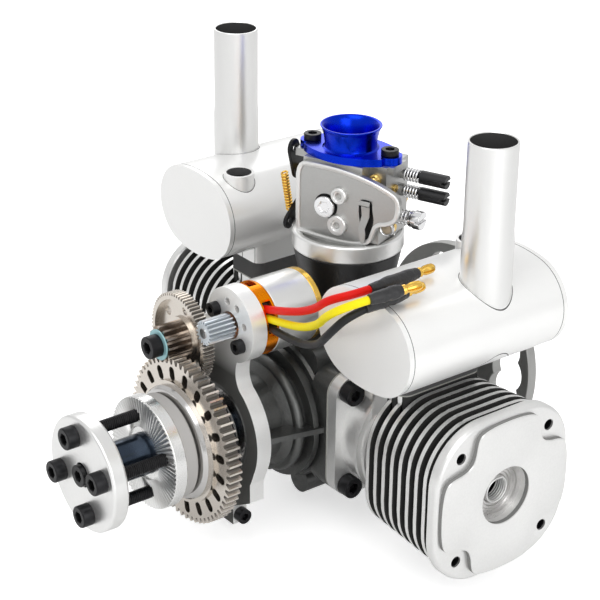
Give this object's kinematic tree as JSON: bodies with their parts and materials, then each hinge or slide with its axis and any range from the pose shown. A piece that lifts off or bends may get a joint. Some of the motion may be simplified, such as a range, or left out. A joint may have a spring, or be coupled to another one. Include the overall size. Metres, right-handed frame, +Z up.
{
  "type": "flat twin aircraft engine",
  "caption": "Horizontally opposed model aircraft engine with a geared electric starter, carburettor, canister mufflers with upright pipes, and a round rear mounting plate.",
  "frame": {"origin": "crank axis at the rear face of the mounting plate", "axes": "+X towards the right cylinder, -Y towards the propeller, +Z up through the carburettor"},
  "size_m": [0.2054, 0.1917, 0.1714],
  "materials": {
    "case": "dark grey cast aluminium, lightly satin",
    "cylinder": "bright cast and machined, satin",
    "muffler": "pale satin sheet",
    "pipe": "satin tube",
    "bright": "turned, satin",
    "plate": "milled, dark grey face with bright edges",
    "black_screw": "black oxide",
    "gear": "warm nickel",
    "dark_gear": "dark bronze tone",
    "steel": "polished",
    "chrome": "bright",
    "blue": "blue anodised, glossy",
    "orange": "orange anodised",
    "gold": "gold plated",
    "shaft": "dark blue-grey",
    "gasket": "fibre sheet",
    "black_plastic": "moulded",
    "carb": "die cast, satin grey",
    "cover": "die cast, satin",
    "copper": "windings",
    "rear": "grey cast",
    "red_lead": "silicone",
    "yellow_lead": "silicone",
    "black_lead": "silicone",
    "sleeve": "heat shrink"
  },
  "bodies": {
    "engine": {"crankcase_front": "case", "crankcase_rear": "case", "case_screws": "black_screw", "main_bearings": "steel", "cylinder_right": "cylinder", "cylinder_left": "cylinder", "gaskets": "gasket", "cylinder_screws": "black_screw", "muffler_right": "muffler", "muffler_left": "muffler", "exhaust_pipes": "pipe", "starter_plate": "plate", "starter_screws": "black_screw", "motor_end_bell": "orange", "motor_stator": "copper", "idler_screw": "black_screw", "idler_clip": "steel", "crank_rear": "steel", "connecting_rods": "steel", "pistons": "cylinder", "wrist_pins": "steel", "intake_manifold": "case", "reed_block": "black_plastic", "intake_insulator": "black_plastic", "intake_tray": "bright", "carburettor_body": "carb", "carburettor_cover": "cover", "cover_screw": "chrome", "fuel_nipple": "gold", "needle_springs": "chrome", "throttle_spring": "gold", "velocity_stack": "blue", "stack_screws": "black_screw", "rear_plate": "rear", "lead_red": "red_lead", "lead_yellow": "yellow_lead", "lead_black": "black_lead", "lead_sleeves": "sleeve", "lead_connectors": "gold"},
    "crank": {"crankshaft": "shaft", "drive_hub": "bright", "propeller_plate": "bright", "propeller_bolts": "black_screw", "crank_bolt": "black_screw"},
    "starter_ring": {"ring_gear": "gear", "ring_gear_shield": "black_screw", "starter_clutch": "steel"},
    "idler": {"idler_wheel": "gear", "idler_pinion": "dark_gear"},
    "rotor": {"motor_can": "bright", "motor_rear_ring": "gold", "motor_shaft": "steel", "motor_pinion": "steel"},
    "throttle": {"throttle_arm": "black_screw", "throttle_valve": "gold"},
    "choke": {"choke_arm": "black_screw", "choke_valve": "gold"},
    "high_needle": {"needle_high": "black_plastic"},
    "low_needle": {"needle_low": "black_plastic"},
    "idle_stop": {"idle_screw": "chrome"}
  },
  "joints": [
    {"name": "crank_spin", "type": "hinge", "parent": "engine", "child": "crank", "pos_m": [0, -0.12, 0], "axis": [0, 1, 0], "continuous": true},
    {"name": "ring_gear_spin", "type": "hinge", "parent": "engine", "child": "starter_ring", "pos_m": [0, -0.141, 0], "axis": [0, 1, 0], "continuous": true},
    {"name": "idler_spin", "type": "hinge", "parent": "engine", "child": "idler", "pos_m": [-0.01136, -0.138, 0.03626], "axis": [0, 1, 0], "continuous": true},
    {"name": "rotor_spin", "type": "hinge", "parent": "engine", "child": "rotor", "pos_m": [0.00784, -0.11, 0.04647], "axis": [0, 1, 0], "continuous": true},
    {"name": "throttle_turn", "type": "hinge", "parent": "engine", "child": "throttle", "pos_m": [0, -0.0638, 0.072], "axis": [0.9272, 0.3746, 0], "range_deg": [0, 78], "stiffness_Nm_per_rad": 0.01, "springref_deg": -20.05, "deforming": ["throttle_spring"]},
    {"name": "choke_turn", "type": "hinge", "parent": "engine", "child": "choke", "pos_m": [0, -0.0638, 0.088], "axis": [0.9272, 0.3746, 0], "range_deg": [0, 80]},
    {"name": "high_needle_turn", "type": "hinge", "parent": "engine", "child": "high_needle", "pos_m": [0.02557, -0.047, 0.0922], "axis": [0.9272, 0.3746, 0], "range_deg": [-180, 360]},
    {"name": "low_needle_turn", "type": "hinge", "parent": "engine", "child": "low_needle", "pos_m": [0.02557, -0.047, 0.0855], "axis": [0.9272, 0.3746, 0], "range_deg": [-180, 360]},
    {"name": "idle_screw_turn", "type": "hinge", "parent": "engine", "child": "idle_stop", "pos_m": [0.02746, -0.05702, 0.0791], "axis": [0.9272, 0.3746, 0], "range_deg": [-180, 360]}
  ],
  "couplings": [
    {"joint": "idler_spin", "follows": "ring_gear_spin", "ratio": -5.3333},
    {"joint": "rotor_spin", "follows": "ring_gear_spin", "ratio": 21.961}
  ]
}
